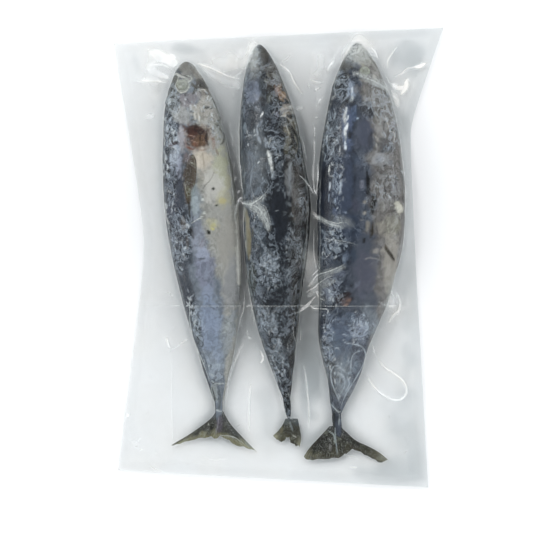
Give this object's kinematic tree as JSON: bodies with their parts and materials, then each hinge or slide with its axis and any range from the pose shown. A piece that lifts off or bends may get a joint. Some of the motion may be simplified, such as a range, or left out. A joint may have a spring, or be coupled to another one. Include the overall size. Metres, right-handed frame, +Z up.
{
  "type": "vacuum pack of whole raw fish",
  "caption": "Clear vacuum bag pulled tight round whole raw fish that lie side by side, heads at one end and tails at the other.",
  "frame": {"origin": "on the ground under the middle of the bag's box", "axes": "+Z up out of the shown side, +Y along the bag towards the heads, +X to the right of the shown side"},
  "size_m": [0.26, 0.3626, 0.0461],
  "materials": {
    "film_over_fish": "clear glossy film drawn tight over blue-grey fish skin"
  },
  "bodies": {
    "root": {"vacuum_bag": "film_over_fish"}
  },
  "joints": []
}
